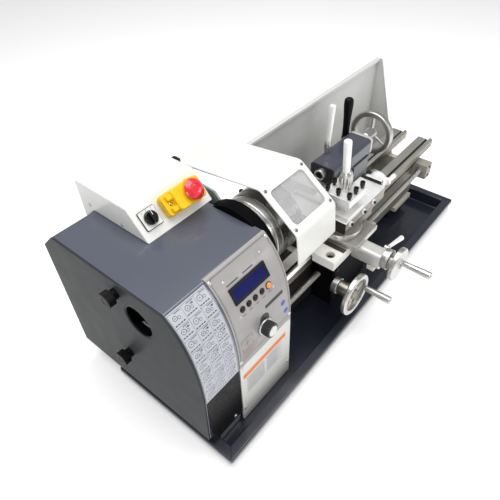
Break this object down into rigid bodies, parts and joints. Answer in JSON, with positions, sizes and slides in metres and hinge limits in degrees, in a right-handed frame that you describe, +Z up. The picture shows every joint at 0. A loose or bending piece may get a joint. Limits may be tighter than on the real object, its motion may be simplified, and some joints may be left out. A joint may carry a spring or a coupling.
{
  "type": "metal lathe",
  "caption": "Bench metal lathe with hooded chuck guard, geared-tray base, carriage with cross and compound slides, tool post and tailstock.",
  "frame": {"origin": "centre of the underside of the chip tray, where the lathe stands on its bench", "axes": "+X from the headstock towards the tailstock along the spindle axis, +Y from the operator towards the back, +Z up"},
  "size_m": [0.883, 0.474, 0.3868],
  "materials": {
    "slate_paint": "gloss",
    "cream_paint": "semi-gloss",
    "cream_casting": "painted, with ground ways",
    "white_paint": "semi-gloss",
    "black_casting": "painted satin",
    "grey_paint": "satin",
    "panel_silver": "brushed",
    "ground_steel": "ground",
    "pulley_aluminium": "turned",
    "oiled_steel": "oiled",
    "dark_casting": "ground and oiled",
    "bright_chrome": "polished",
    "black_plastic": "satin",
    "button_black": "gloss",
    "button_orange": "gloss",
    "switch_plate": "satin",
    "stop_yellow": "gloss",
    "stop_red": "gloss",
    "screen": "clear over a dark screen",
    "window": "clear",
    "belt": "matt"
  },
  "bodies": {
    "lathe_bed": {"bed": "cream_casting", "chip_tray": "slate_paint", "splash_guard": "white_paint", "riser_left": "cream_paint", "riser_right": "cream_paint", "headstock_casting": "black_casting", "spindle_bearing_rear": "ground_steel", "spindle_bearing_front": "ground_steel", "headstock_cover": "slate_paint", "end_cover": "slate_paint", "control_panel": "panel_silver", "lcd_display": "screen", "switch_box": "white_paint", "direction_switch_plate": "switch_plate", "estop_base": "stop_yellow", "motor": "black_casting", "drive_belt": "belt", "guard_bracket": "grey_paint", "leadscrew_bracket": "grey_paint"},
    "cover_knob_upper": {"cover_knob_upper": "black_plastic"},
    "cover_knob_lower": {"cover_knob_lower": "black_plastic"},
    "speed_button_1": {"speed_button_1": "button_black"},
    "speed_button_2": {"speed_button_2": "button_black"},
    "speed_button_3": {"speed_button_3": "button_black"},
    "speed_button_4": {"speed_button_4": "button_black"},
    "power_button": {"power_button": "button_orange"},
    "speed_knob": {"speed_knob": "black_plastic"},
    "direction_switch": {"direction_switch_knob": "black_plastic"},
    "estop_lid": {"estop_lid": "stop_yellow"},
    "estop_button": {"estop_button": "stop_red"},
    "spindle": {"spindle": "ground_steel", "spindle_pulley": "pulley_aluminium", "chuck_body": "bright_chrome"},
    "motor_pulley": {"motor_pulley": "pulley_aluminium"},
    "chuck_jaw_1": {"chuck_jaw_1": "ground_steel"},
    "chuck_jaw_2": {"chuck_jaw_2": "ground_steel"},
    "chuck_jaw_3": {"chuck_jaw_3": "ground_steel"},
    "chuck_guard": {"chuck_guard": "white_paint", "guard_window": "window"},
    "leadscrew": {"leadscrew": "ground_steel"},
    "apron_wheel": {"apron_wheel": "bright_chrome"},
    "carriage": {"saddle": "cream_casting", "apron": "black_casting", "cross_screw_bracket": "ground_steel"},
    "apron_handle": {"apron_handle": "bright_chrome"},
    "feed_lever": {"feed_lever": "bright_chrome"},
    "cross_wheel": {"cross_wheel": "bright_chrome"},
    "cross_slide": {"cross_slide": "oiled_steel"},
    "cross_handle": {"cross_handle": "bright_chrome"},
    "compound_base": {"compound_base": "oiled_steel"},
    "compound_slide": {"compound_slide": "oiled_steel"},
    "compound_wheel": {"compound_wheel": "bright_chrome"},
    "toolpost": {"toolpost": "ground_steel"},
    "toolpost_lever": {"toolpost_lever": "bright_chrome"},
    "tailstock": {"tailstock_base": "dark_casting", "tailstock_body": "slate_paint"},
    "tailstock_wheel": {"tailstock_wheel": "bright_chrome"},
    "quill": {"quill": "bright_chrome"},
    "quill_lock_lever": {"quill_lock_lever": "bright_chrome"},
    "tailstock_clamp_handle": {"tailstock_clamp_handle": "black_plastic"}
  },
  "joints": [
    {"name": "cover_knob_upper_turn", "type": "hinge", "parent": "lathe_bed", "child": "cover_knob_upper", "pos_m": [-0.4265, 0.052, 0.301], "axis": [-1, 0, 0], "continuous": true},
    {"name": "cover_knob_lower_turn", "type": "hinge", "parent": "lathe_bed", "child": "cover_knob_lower", "pos_m": [-0.4265, 0.069, 0.147], "axis": [-1, 0, 0], "continuous": true},
    {"name": "speed_button_1_press", "type": "slide", "parent": "lathe_bed", "child": "speed_button_1", "axis": [0, 0.9413, -0.3376], "range_m": [0, 0.0015], "stiffness_N_per_m": 120},
    {"name": "speed_button_2_press", "type": "slide", "parent": "lathe_bed", "child": "speed_button_2", "axis": [0, 0.9413, -0.3376], "range_m": [0, 0.0015], "stiffness_N_per_m": 120},
    {"name": "speed_button_3_press", "type": "slide", "parent": "lathe_bed", "child": "speed_button_3", "axis": [0, 0.9413, -0.3376], "range_m": [0, 0.0015], "stiffness_N_per_m": 120},
    {"name": "speed_button_4_press", "type": "slide", "parent": "lathe_bed", "child": "speed_button_4", "axis": [0, 0.9413, -0.3376], "range_m": [0, 0.0015], "stiffness_N_per_m": 120},
    {"name": "power_button_press", "type": "slide", "parent": "lathe_bed", "child": "power_button", "axis": [0, 0.9413, -0.3376], "range_m": [0, 0.0015], "stiffness_N_per_m": 120},
    {"name": "speed_knob_turn", "type": "hinge", "parent": "lathe_bed", "child": "speed_knob", "pos_m": [-0.2865, -0.09655, 0.20342], "axis": [0, -0.9965, 0.0835], "range_deg": [-150, 150]},
    {"name": "direction_switch_turn", "type": "hinge", "parent": "lathe_bed", "child": "direction_switch", "pos_m": [-0.3217, 0.08776, 0.34724], "axis": [0, -0.7625, 0.647], "range_deg": [-60, 60]},
    {"name": "estop_lid_hinge", "type": "hinge", "parent": "lathe_bed", "child": "estop_lid", "pos_m": [-0.298, 0.08044, 0.35476], "axis": [0, -0.647, -0.7625], "range_deg": [0, 70]},
    {"name": "estop_button_press", "type": "slide", "parent": "estop_lid", "child": "estop_button", "axis": [0, 0.7625, -0.647], "range_m": [0, 0.004], "stiffness_N_per_m": 200},
    {"name": "spindle_turn", "type": "hinge", "parent": "lathe_bed", "child": "spindle", "pos_m": [-0.2765, 0.015, 0.265], "axis": [1, 0, 0], "continuous": true},
    {"name": "motor_turn", "type": "hinge", "parent": "lathe_bed", "child": "motor_pulley", "pos_m": [-0.3965, 0.155, 0.13], "axis": [1, 0, 0], "continuous": true},
    {"name": "chuck_jaw_1_slide", "type": "slide", "parent": "spindle", "child": "chuck_jaw_1", "axis": [0, 0, 1], "range_m": [-0.01, 0.012]},
    {"name": "chuck_jaw_2_slide", "type": "slide", "parent": "spindle", "child": "chuck_jaw_2", "axis": [0, -0.866, -0.5], "range_m": [-0.01, 0.012]},
    {"name": "chuck_jaw_3_slide", "type": "slide", "parent": "spindle", "child": "chuck_jaw_3", "axis": [0, 0.866, -0.5], "range_m": [-0.01, 0.012]},
    {"name": "chuck_guard_hinge", "type": "hinge", "parent": "lathe_bed", "child": "chuck_guard", "pos_m": [-0.1195, 0.1995, 0.323], "axis": [-1, 0, 0], "range_deg": [0, 75]},
    {"name": "leadscrew_turn", "type": "hinge", "parent": "lathe_bed", "child": "leadscrew", "pos_m": [0.0605, -0.061, 0.127], "axis": [1, 0, 0], "continuous": true},
    {"name": "apron_wheel_turn", "type": "hinge", "parent": "carriage", "child": "apron_wheel", "pos_m": [-0.0775, -0.14, 0.12], "axis": [0, 1, 0], "range_deg": [-73, 811]},
    {"name": "carriage_slide", "type": "slide", "parent": "lathe_bed", "child": "carriage", "axis": [1, 0, 0], "range_m": [-0.004, 0.045]},
    {"name": "apron_handle_spin", "type": "hinge", "parent": "apron_wheel", "child": "apron_handle", "pos_m": [-0.0445, -0.172, 0.112], "axis": [0, 1, 0], "continuous": true},
    {"name": "feed_lever_swing", "type": "hinge", "parent": "carriage", "child": "feed_lever", "pos_m": [0.0105, -0.15, 0.177], "axis": [0, -1, 0], "range_deg": [-25, 20]},
    {"name": "cross_wheel_turn", "type": "hinge", "parent": "carriage", "child": "cross_wheel", "pos_m": [-0.0115, -0.175, 0.174], "axis": [0, 1, 0], "range_deg": [-6841, 1081]},
    {"name": "cross_slide_slide", "type": "slide", "parent": "carriage", "child": "cross_slide", "axis": [0, 1, 0], "range_m": [-0.038, 0.006]},
    {"name": "cross_handle_spin", "type": "hinge", "parent": "cross_wheel", "child": "cross_handle", "pos_m": [0.0055, -0.215, 0.164], "axis": [0, 1, 0], "continuous": true},
    {"name": "compound_swivel", "type": "hinge", "parent": "cross_slide", "child": "compound_base", "pos_m": [-0.0115, -0.06, 0.2], "axis": [0, 0, 1], "range_deg": [-60, 0]},
    {"name": "compound_slide_slide", "type": "slide", "parent": "compound_base", "child": "compound_slide", "axis": [1, 0, 0], "range_m": [-0.01, 0.041]},
    {"name": "compound_wheel_turn", "type": "hinge", "parent": "compound_slide", "child": "compound_wheel", "pos_m": [0.1335, -0.06, 0.228], "axis": [-1, 0, 0], "range_deg": [-7381, 1801]},
    {"name": "toolpost_index", "type": "hinge", "parent": "compound_slide", "child": "toolpost", "pos_m": [-0.0115, -0.06, 0.26], "axis": [0, 0, 1], "continuous": true},
    {"name": "toolpost_lever_turn", "type": "hinge", "parent": "toolpost", "child": "toolpost_lever", "pos_m": [-0.0115, -0.06, 0.3], "axis": [0, 0, 1], "range_deg": [0, 90]},
    {"name": "tailstock_slide", "type": "slide", "parent": "lathe_bed", "child": "tailstock", "axis": [1, 0, 0], "range_m": [0, 0.19]},
    {"name": "tailstock_wheel_turn", "type": "hinge", "parent": "tailstock", "child": "tailstock_wheel", "pos_m": [0.2205, 0.015, 0.265], "axis": [-1, 0, 0], "range_deg": [-1, 9901]},
    {"name": "quill_slide", "type": "slide", "parent": "tailstock", "child": "quill", "axis": [-1, 0, 0], "range_m": [0, 0.055]},
    {"name": "quill_lock_swing", "type": "hinge", "parent": "tailstock", "child": "quill_lock_lever", "pos_m": [0.0755, 0.034, 0.29], "axis": [0, 0, 1], "range_deg": [-60, 60]},
    {"name": "tailstock_clamp_swing", "type": "hinge", "parent": "tailstock", "child": "tailstock_clamp_handle", "pos_m": [0.1535, 0.053, 0.215], "axis": [0, -1, 0], "range_deg": [0, 60]}
  ],
  "couplings": [
    {"joint": "motor_turn", "follows": "spindle_turn", "ratio": 2.0762},
    {"joint": "chuck_jaw_2_slide", "follows": "chuck_jaw_1_slide", "ratio": 1},
    {"joint": "chuck_jaw_3_slide", "follows": "chuck_jaw_1_slide", "ratio": 1},
    {"joint": "apron_wheel_turn", "follows": "carriage_slide", "rad_per_m": 314.16},
    {"joint": "cross_wheel_turn", "follows": "cross_slide_slide", "rad_per_m": 3141.6},
    {"joint": "compound_wheel_turn", "follows": "compound_slide_slide", "rad_per_m": -3141.6},
    {"joint": "tailstock_wheel_turn", "follows": "quill_slide", "rad_per_m": 3141.6}
  ]
}
